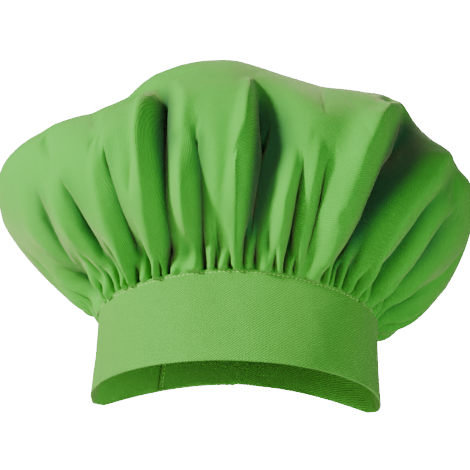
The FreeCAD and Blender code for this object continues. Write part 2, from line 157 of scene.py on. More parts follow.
def add(tree, kind, inputs=(), **settings):
    """A node with its settings, and its inputs given as values or as sockets to link from."""
    made = tree.nodes.new(kind)
    set_all(made, **settings)
    for key, value in dict(inputs).items():
        if isinstance(value, bpy.types.NodeSocket):
            tree.links.new(value, made.inputs[key])
        else:
            made.inputs[key].default_value = value
    return made


def maths(tree, operation, a, b=0.0, c=0.0):
    """The output of a maths node."""
    return add(tree, "ShaderNodeMath", {0: a, 1: b, 2: c}, operation=operation).outputs[0]


def blended(tree, factor, a, b):
    """The colour between a and b, by factor."""
    return add(tree, "ShaderNodeMix", {0: factor, 6: a, 7: b}, data_type="RGBA").outputs[2]


def shade_of(colour, share):
    """A colour with each channel multiplied by share, and alpha 1."""
    return tuple(share * c for c in colour) + (1,)


def new_material(name):
    """A node material, its tree, its shader and the place on the object, in metres."""
    material = bpy.data.materials.new(name)
    material.use_nodes = True
    tree = material.node_tree
    place = add(tree, "ShaderNodeTexCoord").outputs["Object"]
    return material, tree, tree.nodes["Principled BSDF"], place


def relief(tree, height, strength, distance, inputs=()):
    """The direction of a surface with small bumps."""
    settings = {"Strength": strength, "Distance": distance, "Height": height, **dict(inputs)}
    return add(tree, "ShaderNodeBump", settings).outputs[0]


def noise(tree, where, scale, detail=3.0, roughness=0.55):
    """The output of a noise node, 0 to 1."""
    return add(tree, "ShaderNodeTexNoise", {"Vector": where, "Scale": scale, "Detail": detail,
                                            "Roughness": roughness}).outputs[0]


def cloth_coordinates(tree):
    """The cloth's own flat coordinates, in millimetres."""
    flat = add(tree, "ShaderNodeUVMap", uv_map="cloth").outputs[0]
    return add(tree, "ShaderNodeVectorMath", {0: flat, "Scale": 1000.0}, operation="SCALE").outputs[0]


def twill_material(name, colour, pitch=1.5, ribs=1.0, creases=1.0, sheen=0.20):
    """Brushed cotton twill: diagonal ribs, uneven yarn and soft creases. It is paler along worn edges,
    and painted darker deep in the folds, as painted shade."""
    material, tree, shader, place = new_material(name)
    flat = cloth_coordinates(tree)
    drift = noise(tree, flat, 0.35, 2.0)
    split = add(tree, "ShaderNodeSeparateXYZ", {0: flat})
    u, v = split.outputs[0], split.outputs[1]
    wobble = maths(tree, "MULTIPLY", drift, 0.9)
    diagonal = maths(tree, "ADD", maths(tree, "ADD", u, maths(tree, "MULTIPLY", v, 1.35)), wobble)
    rib = maths(tree, "SINE", maths(tree, "MULTIPLY", diagonal, 2 * math.pi / (pitch * 1.68)))
    weft = maths(tree, "SINE", maths(tree, "MULTIPLY", v, 2 * math.pi / (pitch * 0.62)))
    warp = maths(tree, "SINE", maths(tree, "MULTIPLY", maths(tree, "ADD", u, wobble),
                                     2 * math.pi / (pitch * 0.55)))
    weave = maths(tree, "ADD", rib, maths(tree, "MULTIPLY", maths(tree, "MULTIPLY", weft, warp), 0.45))
    yarn = noise(tree, flat, 1.9, 2.0, 0.7)
    slub = noise(tree, add(tree, "ShaderNodeMapping", {0: flat, 3: (0.12, 2.2, 1)}).outputs[0], 1.0, 2.0)
    patch = noise(tree, place, 14.0)
    dark = shade_of(colour, 0.66)
    light = tuple(1.16 * c + 0.006 for c in colour) + (1,)
    shade = maths(tree, "MULTIPLY_ADD", weave, 0.30 * ribs, 0.52)
    for unevenness, share in ((yarn, 0.50), (slub, 0.30), (patch, 0.36)):
        shade = maths(tree, "ADD", shade, maths(tree, "MULTIPLY_ADD", unevenness, share, -share / 2))
    clamp = add(tree, "ShaderNodeClamp", {0: shade}).outputs[0]
    tone = blended(tree, clamp, dark, light)
    edge = add(tree, "ShaderNodeMapRange", {0: add(tree, "ShaderNodeNewGeometry").outputs["Pointiness"],
                                            1: 0.50, 2: 0.60, 3: 0.0, 4: 0.22}).outputs[0]
    worn = tuple(1.35 * c + 0.03 for c in colour) + (1,)
    # Painted shade: where the cloth lies down in a fold, its colour turns towards a near-black green.
    raised = add(tree, "ShaderNodeAttribute", attribute_name="raised").outputs["Fac"]
    painted_shade_mask = add(tree, "ShaderNodeMapRange", {0: raised, 1: -0.014, 2: 0.002, 3: 0.94, 4: 0.0},
                    interpolation_type="SMOOTHSTEP").outputs[0]
    deep = (0.0, 0.12 * colour[1], 0.055 * colour[1], 1)
    tone_with_painted_shade = blended(tree, painted_shade_mask, tone, deep)
    tree.links.new(blended(tree, edge, tone_with_painted_shade, worn), shader.inputs["Base Color"])
    tree.links.new(maths(tree, "MULTIPLY_ADD", yarn, -0.12, 0.92), shader.inputs["Roughness"])
    shader.inputs["Specular IOR Level"].default_value = 0.22
    shader.inputs["Sheen Weight"].default_value = sheen
    shader.inputs["Sheen Roughness"].default_value = 0.45
    shader.inputs["Sheen Tint"].default_value = (1.0, 1.0, 0.60, 1)
    surface = maths(tree, "ADD", weave, maths(tree, "MULTIPLY", yarn, 1.3))
    fine = relief(tree, surface, 0.8 * ribs, 0.00022)
    soft = maths(tree, "ADD", noise(tree, place, 60.0),
                 maths(tree, "MULTIPLY", noise(tree, place, 17.0), 1.5))
    tree.links.new(relief(tree, soft, 0.35 * creases, 0.0016, {"Normal": fine}), shader.inputs["Normal"])
    return material


def grained_material(name, colour, scale, shades, roughness, sheen=0.0, bumps=None, brushed=False):
    """Thread, pile, non-woven strip or plastic: one colour between two shades of it, over fine grain."""
    material, tree, shader, place = new_material(name)
    grain = factor = noise(tree, place, scale, *((5.0, 0.7) if brushed else (2.0,)))
    if brushed:
        grain = maths(tree, "ADD", grain, noise(tree, place, scale * 0.22))
        factor = maths(tree, "MULTIPLY", grain, 0.5)
    tone = blended(tree, factor, *(shade_of(colour, share) for share in shades))
    tree.links.new(tone, shader.inputs["Base Color"])
    shader.inputs["Sheen Weight"].default_value = sheen
    if bumps:
        shader.inputs["Roughness"].default_value = roughness
        tree.links.new(relief(tree, grain, *bumps), shader.inputs["Normal"])
    else:
        tree.links.new(maths(tree, "MULTIPLY_ADD", grain, 0.2, roughness), shader.inputs["Roughness"])
    return material


def pile_material(name, colour, scale, depth):
    """Brushed loops or a woven ground: a fine uneven nap."""
    return grained_material(name, colour, scale, (0.45, 1.5), 0.95, 0.5, (0.9, depth), brushed=True)


CROWN_TWILL = twill_material("crown_twill", (0.034, 0.310, 0.020), ribs=0.55)
BAND_TWILL = twill_material("band_twill", (0.052, 0.310, 0.026), creases=0.45)
THREAD = grained_material("thread", (0.27, 0.58, 0.12), 2600.0, (0.75, 1.25), 0.62, 0.2, (0.4, 0.0001))
LOOP_PILE = pile_material("loop_pile", (0.12, 0.32, 0.05), 1500.0, 0.0006)
HOOK_TAPE = grained_material("hook_tape", (0.13, 0.30, 0.07), 900.0, (0.8, 1.3), 0.30)
STIFFENER = pile_material("stiffener", (0.80, 0.80, 0.76), 700.0, 0.0002)
LABEL = pile_material("label", (0.82, 0.82, 0.79), 2500.0, 0.00008)

# ---- The headband's loops, as in the CAD ----

HALF_WIDTH, FRONT_REACH, BACK_REACH, LOWER_CENTRE_Y = 0.113, 0.070, 0.059, 0.041
UPPER_HALF_WIDTH, UPPER_BACK_REACH, UPPER_CENTRE_Y = 0.107, 0.070, 0.003
BAND_FRONT, BAND_SIDE, BAND_BACK = 0.070, 0.058, 0.064
BACK_RISE, RISE_HALF_WIDTH = 0.021, 0.104
BAND, TWILL = 0.0018, 0.0005
TONGUE_SHIFT, TONGUE_LENGTH, VENT_LIP, CROSSING_LENGTH = 0.0022, 0.062, 0.001, 0.020
TAB_HEIGHT, TAB_DROP, TAB_ROOT, TAB_FREE, TAB_CORNER, TAB = 0.028, 0.022, 0.024, 0.084, 0.006, 0.0013
TAPE, TAPE_HEIGHT, LIE, PEEL, TAB_STEP = 0.001, 0.018, 0.00005, 0.0003, 0.014
TAB_LIFT = BAND + 2 * (TAPE + LIE) + PEEL


def polar_loop(half_width, centre_y, back_reach, front_power, back_power, count=1440):
    """Points round one edge of the band, and their distances along it from the middle of the back."""
    angle = np.pi / 2 + 2 * np.pi * np.arange(count + 1) / count
    c, s = np.cos(angle), np.sin(angle)
    reach = np.where(s > 0, back_reach - centre_y, FRONT_REACH + centre_y)
    power = np.where(s > 0, back_power, front_power)
    r = (np.abs(c / half_width) ** power + np.abs(s / reach) ** power) ** (-1 / power)
    points = np.stack([r * c, centre_y + r * s], 1)
    return points, np.concatenate([[0], np.cumsum(np.hypot(*np.diff(points, axis=0).T))])


LOWER, LOWER_LENGTHS = polar_loop(HALF_WIDTH, LOWER_CENTRE_Y, BACK_REACH, 2.0, 4.2)
UPPER, UPPER_LENGTHS = polar_loop(UPPER_HALF_WIDTH, UPPER_CENTRE_Y, UPPER_BACK_REACH, 2.2, 2.2)
GIRTH = LOWER_LENGTHS[-1]
HINGE = GIRTH - CROSSING_LENGTH - VENT_LIP - 0.001


def on_loop(points, lengths, share):
    """The point at a share of the way round a loop."""
    want = (share % 1.0) * lengths[-1]
    return np.stack([np.interp(want, lengths, points[:, k]) for k in (0, 1)], -1)


def band_frame(share, shift=0.0):
    """Foot, head and outward direction of the band's inner face, at shares of the way round."""
    share = np.asarray(share, float)
    low, high = on_loop(LOWER, LOWER_LENGTHS, share), on_loop(UPPER, UPPER_LENGTHS, share)
    step = 0.0008
    along = (on_loop(LOWER, LOWER_LENGTHS, share + step) - on_loop(LOWER, LOWER_LENGTHS, share - step)
             + on_loop(UPPER, UPPER_LENGTHS, share + step) - on_loop(UPPER, UPPER_LENGTHS, share - step))
    out = unit(np.stack([along[..., 1], -along[..., 0]], -1))
    turned = np.sum(out * (low - [0, LOWER_CENTRE_Y]), -1, keepdims=True) < 0
    out = np.where(turned, -out, out)
    rise = BACK_RISE * (1 - (low[..., 0] / RISE_HALF_WIDTH) ** 2)
    low_z = np.where((low[..., 1] < LOWER_CENTRE_Y) | (np.abs(low[..., 0]) >= RISE_HALF_WIDTH), 0, rise)
    c = np.cos(2 * np.pi * share)
    high_z = BAND_SIDE + (np.where(c > 0, BAND_BACK, BAND_FRONT) - BAND_SIDE) * c * c
    inwards = -out * (BAND + np.broadcast_to(shift, share.shape)[..., None])
    foot = np.concatenate([low + inwards, low_z[..., None]], -1)
    head = np.concatenate([high + inwards, high_z[..., None]], -1)
    return foot, head, np.concatenate([out, np.zeros_like(out[..., :1])], -1)


def crossing_shift(d):
    """How far the far end has stepped inside the near end, at distance d along the band."""
    return TONGUE_SHIFT * smooth_step(d, GIRTH - CROSSING_LENGTH - VENT_LIP, GIRTH - VENT_LIP)


def on_band(d, height, offset, shifted=True):
    """Points of the band: height up the wall from the lower edge, offset out from the inner face."""
    d, height, offset = np.broadcast_arrays(*(np.asarray(a, float) for a in (d, height, offset)))
    foot, head, out = band_frame(d / GIRTH, crossing_shift(d) if shifted else 0.0)
    return foot + unit(head - foot) * height[..., None] + out * offset[..., None]


def wall_height(d):
    """The band's height, measured up its leaning wall."""
    foot, head, _ = band_frame(np.asarray(d, float) / GIRTH)
    return np.linalg.norm(head - foot, axis=-1)


# ---- Meshes over grids ----

def set_cloth_uv(mesh, flat):
    """Stores each vertex's place on the flat cloth, in metres."""
    layer = mesh.uv_layers.new(name="cloth")
    corners = np.empty(len(mesh.loops), int)
    mesh.loops.foreach_get("vertex_index", corners)
    layer.data.foreach_set("uv", np.asarray(flat, float)[corners].ravel())


def vertex_places(mesh):
    """The mesh's vertices as rows of x, y and z."""
    places = np.empty(len(mesh.vertices) * 3)
    mesh.vertices.foreach_get("co", places)
    return places.reshape(-1, 3)


def grid_faces(n, m, start=0, closed=False):
    """Faces between n rows of m vertices, which are numbered on from start."""
    def at(i, j):
        return start + i * m + j % m
    return [(at(i, j), at(i, j + 1), at(i + 1, j + 1), at(i + 1, j))
            for i in range(n - 1) for j in range(m if closed else m - 1)]


def end_faces(n, m, start=0):
    """The two faces that close a tube of n such rows."""
    return [tuple(start + j for j in range(m))[::-1], tuple(start + (n - 1) * m + j for j in range(m))]


def made_object(name, points, faces, material, flat=None, smooth=True):
    """An object with its mesh, material and flat places."""
    mesh = bpy.data.meshes.new(name)
    mesh.from_pydata(np.reshape(points, (-1, 3)).tolist(), [], faces)
    mesh.polygons.foreach_set("use_smooth", [smooth] * len(faces))
    if flat is not None:
        set_cloth_uv(mesh, np.reshape(flat, (-1, 2)))
    mesh.materials.append(material)
    mesh.update()
    return link(name, mesh)


def grid_object(name, points, material, flat=None, closed=False):
    """An object over a grid of points[station, section], closed into a solid tube or left open."""
    n, m = points.shape[:2]
    faces = grid_faces(n, m, closed=closed) + (end_faces(n, m) if closed else [])
    return made_object(name, points, faces, material, flat)


def thickened(obj, thickness):
    """Gives a sheet its real thickness, half on each side of its middle surface."""
    set_all(obj.modifiers.new("thickness", "SOLIDIFY"), thickness=thickness, offset=0)
    return obj


def stitch_rows(name, rows, length=0.0024, gap=0.0009, radius=0.00028):
    """Separate stitches along rows. A row is (points, normals) of the face it lies on."""
    vertices, faces = [], []
    lie = np.linspace(0, 1, 7)
    girth = 8
    ring = 2 * np.pi * np.arange(girth) / girth
    taper = np.array([0.35, 0.8, 1, 1, 1, 0.8, 0.35])
    sink = radius * np.array([-1.1, -0.15, 0.25, 0.35, 0.25, -0.15, -1.1])
    for points, normals in rows:
        along = np.concatenate([[0], np.cumsum(np.linalg.norm(np.diff(points, axis=0), axis=1))])
        count = max(1, int((along[-1] + gap) // (length + gap)))
        pitch = (along[-1] + gap) / count
        for k in range(count):
            at = k * pitch + (pitch - gap) * lie
            p = np.stack([np.interp(at, along, points[:, c]) for c in range(3)], 1)
            q = unit(np.stack([np.interp(at, along, normals[:, c]) for c in range(3)], 1))
            ahead = unit(np.gradient(p, axis=0))
            side = unit(np.cross(ahead, q))
            lean = 0.00010 * (lie - 0.5)[:, None]
            centre = p + q * sink[:, None] + side * lean
            r = (radius * taper)[:, None, None]
            tube = centre[:, None] + r * (np.cos(ring)[None, :, None] * side[:, None]
                                          + 0.8 * np.sin(ring)[None, :, None] * q[:, None])
            start = len(vertices) * girth
            vertices += list(tube)
            faces += grid_faces(len(lie), girth, start, closed=True) + end_faces(len(lie), girth, start)
    return made_object(name, np.concatenate(vertices), faces, THREAD)


# ---- Headband ----

STITCH_DROP = 0.0025          # the topstitching, below the band's upper edge


def band_pucker(d, below_top):
    """How the cloth stands out or in beside the topstitching, outside and inside."""
    groove = -0.00034 * np.exp(-((below_top - STITCH_DROP) / 0.0006) ** 2)
    ripple = 0.00026 * wander(d, 3, 7, 0.031) * np.exp(-(below_top / 0.006) ** 2)
    lip = 0.00016 * np.exp(-((below_top - 0.0011) / 0.0008) ** 2)
    return groove + ripple + lip


def band_sway(d, share_up):
    """How far the whole wall leans in or out: cloth is never quite even. It stays true at the closure."""
    still = 1 - smooth_step(np.minimum(d, np.abs(GIRTH - d)), 0.095, 0.06)
    bow = 0.00045 * wander(d, 11, 4, 0.16) * np.sin(np.pi * np.clip(share_up, 0, 1)) ** 0.7
    return still * (bow + 0.00025 * wander(d + 0.035 * share_up, 12, 4, 0.07))


TURNING = 0.006               # the edges turned in at the top of the folded strip


def band_cloth():
    """The middle surface of the folded strip: turned in above, round the fold below, up the inside."""
    d = np.linspace(VENT_LIP, GIRTH + TONGUE_LENGTH, 760)[:, None]
    top = wall_height(d)
    out, half = BAND - TWILL / 2, TWILL / 2
    r = BAND / 2 - half
    climb = np.concatenate([np.linspace(0, 1, 16)[:-1] ** 0.9 * 0.90, 1 - np.linspace(0.1, 0, 26)])[None, :]
    crest = top - half - 0.00035
    rise = r + half + (crest - r - half) * climb
    pucker, sway = band_pucker(d, top - rise), band_sway(d, rise / top)
    bend = np.linspace(0, np.pi, 7)[None, 1:-1]
    over = 0.00022 * wander(d, 5, 6, 0.027) + crest + 0.00035 * np.sin(bend)
    roll = 0.00035 * (1 - np.cos(bend))
    turned = top - np.linspace(TURNING, 0.0008, 5)[None, :]
    fold = np.linspace(0, np.pi, 9)[None, 1:-1]
    foot_sway = sway[:, :1] + 0.0002 * wander(d, 6, 5, 0.09)
    outer, inner = out + pucker + sway, half - 0.6 * pucker + sway
    far, near = outer[:, -1:], inner[:, -1:]
    heights = np.concatenate([turned, over[:, ::-1], rise[:, ::-1], r + half - r * np.sin(fold) + 0 * d,
                              rise, over, turned[:, ::-1]], 1)
    offsets = np.concatenate([far - 0.0007 + 0 * turned, far - roll[:, ::-1], outer[:, ::-1],
                              BAND / 2 + r * np.cos(fold) + foot_sway, inner, near + roll,
                              near + 0.0007 + 0 * turned], 1)
    points = on_band(d, heights, offsets)
    step = np.linalg.norm(np.diff(points, axis=1), axis=-1)
    down = np.concatenate([np.zeros_like(d), np.cumsum(step, 1)], 1)
    flat = np.stack([np.broadcast_to(d, down.shape), down], -1)
    return (thickened(grid_object("band_cloth", points, BAND_TWILL, flat), TWILL),
            float(down[:, -1].mean()))


def stiffener_piece():
    """The stiffener leans with the cloth round it."""
    d = np.linspace(VENT_LIP + 0.0005, GIRTH + TONGUE_LENGTH - 0.0005, 420)[:, None]
    top = wall_height(d) - 0.0105
    rise = 0.0006 + (top - 0.0006) * np.linspace(0, 1, 9)[None, :]
    sway = band_sway(d, rise / wall_height(d))
    heights = np.concatenate([rise, rise[:, ::-1]], 1)
    offsets = np.concatenate([BAND / 2 + 0.0002 + sway, BAND / 2 - 0.0002 + sway[:, ::-1]], 1)
    points = on_band(d, heights, offsets)
    return grid_object("band_interlining", points, STIFFENER, closed=True)


def row_on_band(d, height, offset, inside=False, shifted=True):
    """A row of points on the band's face, and the direction they face."""
    d = np.asarray(d, float)
    _, _, out = band_frame(d / GIRTH)
    sway = band_sway(d, np.asarray(height) / wall_height(d))
    return on_band(d, height, offset + sway, shifted), (-out if inside else out)


def stretch(start, end, step=0.0012):
    """Even distances along the band, about a step apart."""
    return np.linspace(start, end, max(2, int(abs(end - start) / step)))


def band_stitching():
    """The topstitching outside and inside, and the rows across the strip's two ends."""
    crossing = GIRTH - CROSSING_LENGTH - VENT_LIP
    rows = []
    for start, end, inside in ((0.006, crossing, False), (TONGUE_LENGTH + 0.006, crossing, True),
                               (GIRTH, GIRTH + TONGUE_LENGTH - 0.005, True)):
        d = stretch(start, end)
        offset = 0.00010 if inside else BAND - 0.00022
        rows.append(row_on_band(d, wall_height(d) - STITCH_DROP, offset, inside))
    stitches = stitch_rows("band_topstitches", rows)
    ends = []
    for d, inside in ((0.0035, False), (GIRTH + TONGUE_LENGTH - 0.0025, True)):
        heights = np.linspace(0.003, float(wall_height(d)) - 0.004, 50)
        ends.append(row_on_band(np.full(50, d), heights, 0.0 if inside else BAND, inside))
    return stitches, stitch_rows("band_end_stitches", ends)


# ---- Closure tab and its tapes ----

TAB_END = HINGE + TAB_FREE
BEND = 0.005                  # the tab bends within this distance of the hinge, on each side
EDGE_ROW = 0.0025             # from the tab's edge to its row of stitches


def tab_middle(d):
    """Height of the tab's middle line."""
    return wall_height(d) - TAB_DROP


def tab_underside(d):
    """Offset of the tab's inner face: close on the band at its root, and over the tapes beyond."""
    start = BAND + PEEL
    free = start + (TAB_LIFT - start) * smooth_step(d, HINGE, HINGE + TAB_STEP)
    return np.where(d < HINGE, BAND + LIE + (PEEL - LIE) * smooth_step(d, HINGE - 0.004, HINGE), free)


def tab_cloth(name, start, end, closed_start=False, closed_end=False):
    """A stretch of the tab: two layers sewn round a stiffener, with soft edges and a sunken seam."""
    d = stretch(start, end, 0.0011)[:, None]
    half = TAB_HEIGHT / 2 - np.clip(d - (TAB_END - TAB_CORNER), 0, None)
    t = np.linspace(-1, 1, 31)[None, :]
    across = half * (0.55 * t + 0.45 * np.sin(t * np.pi / 2))
    rim = half - np.abs(across)
    ends = np.minimum(np.where(closed_end, TAB_END - d, 1), np.where(closed_start, d - (HINGE - TAB_ROOT), 1))
    rim = np.minimum(rim, ends)
    swell = 1 - np.clip(1 - rim / 0.0006, 0, 1) ** 2 * 0.75
    seam = 0.00016 * np.exp(-((rim - 0.0025) / 0.0006) ** 2)
    wave = 0.00012 * wander(d + 0.3 * across, 21, 4, 0.022)
    low = tab_underside(d) + TAB * 0.5 * (1 - swell) + 0.3 * seam
    high = tab_underside(d) + TAB * (0.5 + 0.5 * swell) - seam + np.clip(wave, 0, None)
    heights = tab_middle(d) + np.concatenate([across, across[:, ::-1]], 1)
    offsets = np.concatenate([high, low[:, ::-1]], 1)
    points = on_band(d, heights, offsets, shifted=False)
    flat = np.stack([np.broadcast_to(d, heights.shape), heights], -1)
    return grid_object(name, points, BAND_TWILL, flat, closed=True)


def tab_row(d, above, offset, inside=False):
    """A row of points over the tab, above its middle line, and the direction they face."""
    d, above, offset = np.broadcast_arrays(np.asarray(d, float), above, offset)
    _, _, out = band_frame(d / GIRTH)
    return on_band(d, tab_middle(d) + above, offset, False), (-out if inside else out)


def box_rows(start, end, half, offset, inside=False):
    """Four rows round a rectangle on the tab's middle line."""
    d, h = stretch(start, end), np.linspace(-half, half, 24)
    rows = [tab_row(d, side * half, offset(d), inside) for side in (-1, 1)]
    return rows + [tab_row(np.full(24, e), h, offset(np.full(24, e)), inside) for e in (start, end)]


def tab_top(d):
    """Offset of the tab's outer face, where its stitches sink in."""
    return tab_underside(d) + TAB - 0.0001


def tab_threads():
    """The row round the free tab, and the box of stitches that holds its root."""
    inset = TAB_HEIGHT / 2 - EDGE_ROW
    d = stretch(HINGE + 0.0028, TAB_END - TAB_CORNER)
    free = [tab_row(d, side * inset, tab_top(d)) for side in (-1, 1)]
    h = np.linspace(-0.0067, 0.0067, 24)
    e = np.full(24, TAB_END - EDGE_ROW)
    free.append(tab_row(e, h, tab_top(e)))
    corner = np.linspace(0, 1, 12)
    for side in (-1, 1):
        d = TAB_END - TAB_CORNER + corner * (TAB_CORNER - 0.0027)
        free.append(tab_row(d, side * (inset - corner * (inset - 0.0072)), tab_top(d)))
    root = box_rows(HINGE - TAB_ROOT + EDGE_ROW, HINGE - 0.0028, inset, tab_top)
    return stitch_rows("tab_stitches", free), stitch_rows("tab_root_stitches", root)


LOOP = 0.009, 0.079           # where the loop tape starts and ends, along the band
HOOK = GIRTH + 0.015, GIRTH + 0.055


def tape_threads():
    """The rows that hold the tapes, through their own edges."""
    inset = TAPE_HEIGHT / 2 + 0.0003
    loop = box_rows(LOOP[0] - 0.0003, LOOP[1] + 0.0003, inset, lambda d: 0 * d + BAND)
    hook = box_rows(HOOK[0] - 0.0003, HOOK[1] + 0.0003, inset, lambda d: 0 * d + TAB_LIFT, True)
    return stitch_rows("loop_tape_stitches", loop), stitch_rows("hook_tape_stitches", hook)


def bristles(name, start, end, base, height, spacing, hooked, material, seed):
    """A tape: its woven ground, with small hooks or a brushed pile of loops standing on it."""
    rng = np.random.default_rng(seed)
    ground = 0.4 * TAPE
    along, across = np.meshgrid(np.arange(start + 0.001, end - 0.0008, spacing),
                                np.arange(-TAPE_HEIGHT / 2 + 0.0010, TAPE_HEIGHT / 2 - 0.0008, spacing))
    along = along.ravel() + rng.uniform(-0.25, 0.25, along.size) * spacing * (1 if hooked else 1.6)
    across = across.ravel() + rng.uniform(-0.1, 0.1, across.size) * spacing * (1 if hooked else 5)
    turn = rng.uniform(-0.2, 0.2, along.size) if hooked else rng.uniform(0, np.pi, along.size)
    bow = np.linspace(0, 1.25 * np.pi if hooked else np.pi, 6)
    size = (height - ground) * (1 if hooked else rng.uniform(0.6, 1, along.size)[:, None])
    lift = size * (np.clip(np.sin(bow), -0.2, 1))[None, :]
    lie = (0.45 * (height - ground) * (1 - np.cos(bow)))[None, :] * np.ones((along.size, 1))
    d = along[:, None] + lie * np.cos(turn)[:, None]
    h = across[:, None] + lie * np.sin(turn)[:, None]
    thick = 0.00009
    vertices, faces = [], []
    for a, b in ((-1, -1), (1, -1), (1, 1), (-1, 1)):
        side_d, side_h = -np.sin(turn)[:, None] * thick * a, np.cos(turn)[:, None] * thick * a
        offset = base(ground + lift + thick * b)
        vertices.append(on_band(d + side_d, tab_middle(d) + h + side_h, offset, False))
    tubes = np.stack(vertices, 2)
    n, m = tubes.shape[:2]
    for i in range(n):
        faces += grid_faces(m, 4, i * m * 4, closed=True) + end_faces(m, 4, i * m * 4)
    slab_d = stretch(start, end, 0.002)[:, None]
    slab_h = np.linspace(-TAPE_HEIGHT / 2, TAPE_HEIGHT / 2, 10)
    offsets = np.repeat([base(ground), base(0.0)], 10)
    slab = on_band(slab_d, tab_middle(slab_d) + np.concatenate([slab_h, slab_h[::-1]]), offsets, False)
    count, loop = slab.shape[:2]
    faces += grid_faces(count, loop, n * m * 4, closed=True) + end_faces(count, loop, n * m * 4)
    points = np.concatenate([tubes.reshape(-1, 3), slab.reshape(-1, 3)])
    return made_object(name, points, faces, material, smooth=False)


# ---- Care label ----

LABEL_WIDTH, LABEL_DROP, LABEL_TOP = 0.024, 0.030, 0.008
LABEL_MIDDLE = 0.40 * GIRTH


def care_label():
    """A folded ribbon, sewn along its top and a little sprung at its fold."""
    d = (LABEL_MIDDLE + np.linspace(-0.5, 0.5, 17) * LABEL_WIDTH)[:, None]
    top = wall_height(d) - LABEL_TOP
    t = np.linspace(0, 1, 22)[None, :]
    apart = 0.0006 + 0.0011 * t ** 3
    bend = np.linspace(0, np.pi, 7)[None, 1:-1]
    low = top - LABEL_DROP
    down = top - (LABEL_DROP - 0.0008) * t
    heights = np.concatenate([down, low + 0.0008 - 0.0008 * np.sin(bend), down[:, ::-1]], 1)
    back = -0.0003 + 0 * t
    front = back - apart
    middle, radius = (back[:, -1:] + front[:, -1:]) / 2, (back[:, -1:] - front[:, -1:]) / 2
    offsets = np.concatenate([back, middle + radius * np.cos(bend), front[:, ::-1]], 1) + 0 * d
    offsets -= 0.0009 * ((d - LABEL_MIDDLE) / LABEL_WIDTH) ** 2 * (top - heights) / LABEL_DROP
    points = on_band(d, heights, offsets + band_sway(d, heights / wall_height(d)))
    flat = np.stack(np.broadcast_arrays(d, np.arange(heights.shape[1])[None, :] * 0.0014), -1)
    return thickened(grid_object("label_ribbon", points, LABEL, flat), 0.00022)


def label_threads():
    """The short row through the label's top."""
    d = stretch(LABEL_MIDDLE - 0.011, LABEL_MIDDLE + 0.011)
    return stitch_rows("label_stitches", [row_on_band(d, wall_height(d) - LABEL_TOP - 0.0025, -0.0011, True)])


# ---- Crown ----

DISC_RADIUS = 0.325
COLUMNS, RINGS = 640, 74
WIDEST = 0.40                 # v of the widest ring: v is 0 at the seam and 1 at the top's middle
SLIT_RINGS = 12               # the slit at the back ends at this ring
TUCK = (0.0012, 0.0060)       # how far the edge reaches down between the band's walls, in front and behind
SLIT_HALF, SLIT_REACH = 0.0025, 0.03   # half its width at the band, and the share of the loop it draws along


def even_quarter(wide=0.16, high=0.075, count=200):
    """Angles along a quarter ellipse at even distances, so that rings are evenly spaced."""
    u = np.linspace(0, np.pi / 2, count)
    step = np.hypot(np.diff(wide * np.cos(u)), np.diff(high * np.sin(u)))
    length = np.concatenate([[0], np.cumsum(step)])
    return length / length[-1], u


QUARTER = even_quarter()


# How much higher or lower the top stands than an even dome, in millimetres, by x.
TOP_SHAPE = np.array([(-190, -12), (-150, -24), (-110, -27), (-82, -14), (-68, 14), (-50, 23), (-35, 26),
                      (-8, 27), (25, 14), (60, 5), (95, 13), (118, 27), (130, 24), (142, 9), (155, -20),
                      (180, -30)], float).T


def crown_base(share, v):
    """The crown without its folds."""
    _, head, out = band_frame(share)
    seam = head + out * (BAND / 2)
    x0, y0 = seam[..., 0], seam[..., 1]
    angle = np.arctan2((y0 - UPPER_CENTRE_Y) / 0.073, x0 / 0.107)
    ca, sa = np.cos(angle), np.sin(angle)
    wide, deep, power = np.where(ca < 0, 0.191, 0.180), np.where(sa < 0, 0.132, 0.140), 2.2
    r = (np.abs(ca / wide) ** power + np.abs(sa / deep) ** power) ** (-1 / power)
    wx, wy, wz = r * ca, r * sa + 0.002, 0.160 - 0.006 * np.maximum(sa, 0) * np.maximum(ca, 0)
    s = np.clip(v / WIDEST, 0, 1)
    reach = np.sin(s ** np.where(ca < 0, 1.48, 1.10) * np.pi / 2)
    lift = 0.60 * s + 0.40 * (1 - np.cos(s * np.pi / 2))
    droop = 0.030 * np.maximum(sa, 0) ** 0.5 * (0.3 + 0.7 * np.maximum(ca, 0)) * np.sin(s * np.pi) ** 1.5
    u = np.interp((v - WIDEST) / (1 - WIDEST), *QUARTER)
    size = np.cos(u)
    lower = v < WIDEST
    x = np.where(lower, x0 + (wx - x0) * reach, -0.012 * (1 - size) + wx * size)
    y = np.where(lower, y0 + (wy - y0) * reach, -0.012 * (1 - size) + wy * size)
    top = 0.228 + MM * np.interp(x / MM, *TOP_SHAPE)
    z = np.where(lower, seam[..., 2] + (wz - seam[..., 2]) * lift - droop, wz + (top - wz) * np.sin(u))
    return np.stack([x, y, z], -1)


def base_normal(share, v, step=0.002):
    """The direction that faces out of the crown."""
    across = crown_base(share + step, v) - crown_base(share - step, v)
    up = crown_base(share, np.minimum(v + step, 1)) - crown_base(share, np.maximum(v - step, 0))
    normal = np.cross(across, up)
    length = np.linalg.norm(normal, axis=-1, keepdims=True)
    normal = np.where(length > 1e-12, normal / np.maximum(length, 1e-12), [0, 0, 1.0])
    away = np.sum(normal * (crown_base(share, v) - [0, 0, 0.12]), -1, keepdims=True)
    return np.where(away < 0, -normal, normal)


